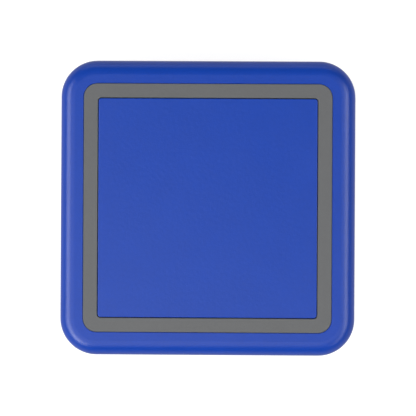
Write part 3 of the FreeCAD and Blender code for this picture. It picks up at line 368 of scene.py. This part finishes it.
coil = smooth_mesh("coil_turns", *winding_mesh(*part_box("coil_winding")), "copper_wire")
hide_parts("coil_winding")

# ---------------------------------------------------------------- studio


def stage_plane(name, half, z, material):
    """A square of the studio, level at that height."""
    mesh = bpy.data.meshes.new(name)
    corners = [(-half, -half, z), (half, -half, z), (half, half, z), (-half, half, z)]
    mesh.from_pydata(corners, [], [(0, 1, 2, 3)])
    obj = bpy.data.objects.new(name, mesh)
    scene.collection.objects.link(obj)
    obj.data.materials.append(material)
    return obj


# The paper glows a little with painted light, brightest in a rounded square about the object, so that it
# stays white without a hard shadow.
POOL_EDGE, POOL_END = 0.08, 0.24
POOL_GLOW, FAR_GLOW = 0.80, 0.34
PAPER_WHITE = 0.36
PAPER_FIBRE, FIBRE_DEPTH = 0.8 * MM, 20 * MICRON
FLOOR_HALF = 4.0

paper = Look("studio_paper")
# the fourth root of x^4 + y^4 is the same all round a rounded square
pair = {0: paper.place, 1: paper.place}
squares = paper.add("ShaderNodeVectorMath", pair, operation="MULTIPLY").outputs[0]
root = paper.add("ShaderNodeVectorMath", {0: squares}, operation="LENGTH").outputs["Value"]
from_middle = paper.add("ShaderNodeMath", {0: root}, operation="SQRT").outputs[0]
paper.set(base_color=[PAPER_WHITE] * 3 + [1.0], roughness=0.9, emission_color=[1, 1, 1, 1])
# painted light: the glow is strongest close about the object, where its shadow would fall
paper.set(emission_strength=paper.between(from_middle, POOL_GLOW, FAR_GLOW, POOL_EDGE, POOL_END))
paper.set(normal=paper.bump(paper.noise(PAPER_FIBRE, detail=3), FIBRE_DEPTH))
# from underneath the paper is clear, so the underside can be looked at
below = paper.add("ShaderNodeNewGeometry").outputs["Backfacing"]
clear = paper.add("ShaderNodeBsdfTransparent").outputs[0]
one_sided = paper.add("ShaderNodeMixShader", {0: below, 1: paper.surface.outputs[0], 2: clear}).outputs[0]
paper.tree.links.new(one_sided, paper.tree.nodes["Material Output"].inputs["Surface"])
floor = stage_plane("floor", FLOOR_HALF, cad_bounds[0].z, paper.material)
# the gloss sees the softer world below instead of the glowing paper, so the rim keeps its colour
floor.visible_glossy = False

LIGHT_DISTANCE = 1.1
AIM = Vector((0, 0, 0.03))


def softbox(name, bearing, elevation, size, watts):
    """A rectangular light aimed at the object. Bearing 0 is in front, 90 to the right, in degrees."""
    turn, lift = math.radians(bearing), math.radians(elevation)
    away = Vector((math.cos(lift) * math.sin(turn), -math.cos(lift) * math.cos(turn), math.sin(lift)))
    light = bpy.data.lights.new(name, "AREA")
    light.shape = "RECTANGLE"
    light.size, light.size_y = size
    light.energy = watts
    obj = bpy.data.objects.new(name, light)
    obj.location = AIM + away * LIGHT_DISTANCE
    obj.rotation_euler = (-away).to_track_quat("-Z", "Y").to_euler()
    scene.collection.objects.link(obj)


softbox("left_strip", 270, 34, (0.9, 0.56), 6.6)
softbox("right_strip", 90, 41, (0.9, 0.46), 5.0)
softbox("key", 315, 35, (0.5, 0.4), 4.6)
softbox("front_fill", 45, 35, (0.5, 0.4), 1.25)
softbox("overhead", 320, 66, (1.1, 0.9), 4.3)
softbox("right_upper", 90, 66, (0.7, 0.4), 1.1)
softbox("back_wall", 180, 12, (1.2, 0.3), 1.2)

# dim above the paper, where only the lights should show in the gloss, and paler below it
BELOW_LEVEL, ABOVE_LEVEL = 0.6, 0.12
HORIZON_BAND = 0.02
world = bpy.data.worlds.new("studio")
scene.world = world
world.use_nodes = True
sky = world.node_tree.nodes["Background"]
sky.inputs["Color"].default_value = (1, 1, 1, 1)
direction = world.node_tree.nodes.new("ShaderNodeTexCoord").outputs["Generated"]
height = world.node_tree.nodes.new("ShaderNodeSeparateXYZ")
level = world.node_tree.nodes.new("ShaderNodeMapRange")
ramp = {"From Min": -HORIZON_BAND, "From Max": 0.0, "To Min": BELOW_LEVEL, "To Max": ABOVE_LEVEL}
for name, number in ramp.items():
    level.inputs[name].default_value = number
world.node_tree.links.new(direction, height.inputs[0])
world.node_tree.links.new(height.outputs["Z"], level.inputs["Value"])
world.node_tree.links.new(level.outputs[0], sky.inputs["Strength"])

# ---------------------------------------------------------------- camera

# the camera looks almost straight down; its height is above the shoulder of the case
FRAME_PIXELS = 416
PIXELS_PER_METRE = 2940.0
CAMERA_HEIGHT = 0.70
SHOULDER_HEIGHT = 0.033
CAMERA_ASIDE = 0.011
AIM_ASIDE, AIM_AHEAD = 0.00007, 0.00009
CAMERA_TURN = math.radians(0.31)
lens = bpy.data.cameras.new("camera")
lens.sensor_width = 36.0
lens.lens = lens.sensor_width * CAMERA_HEIGHT / (FRAME_PIXELS / PIXELS_PER_METRE)
lens.clip_start, lens.clip_end = 0.01, 20.0
camera = bpy.data.objects.new("camera", lens)
camera.location = (CAMERA_ASIDE, 0, SHOULDER_HEIGHT + CAMERA_HEIGHT)
tilt_forward = math.atan2(AIM_AHEAD, CAMERA_HEIGHT)
tilt_aside = math.atan2(CAMERA_ASIDE - AIM_ASIDE, CAMERA_HEIGHT)
camera.rotation_euler = (tilt_forward, tilt_aside, CAMERA_TURN)
scene.collection.objects.link(camera)
scene.camera = camera
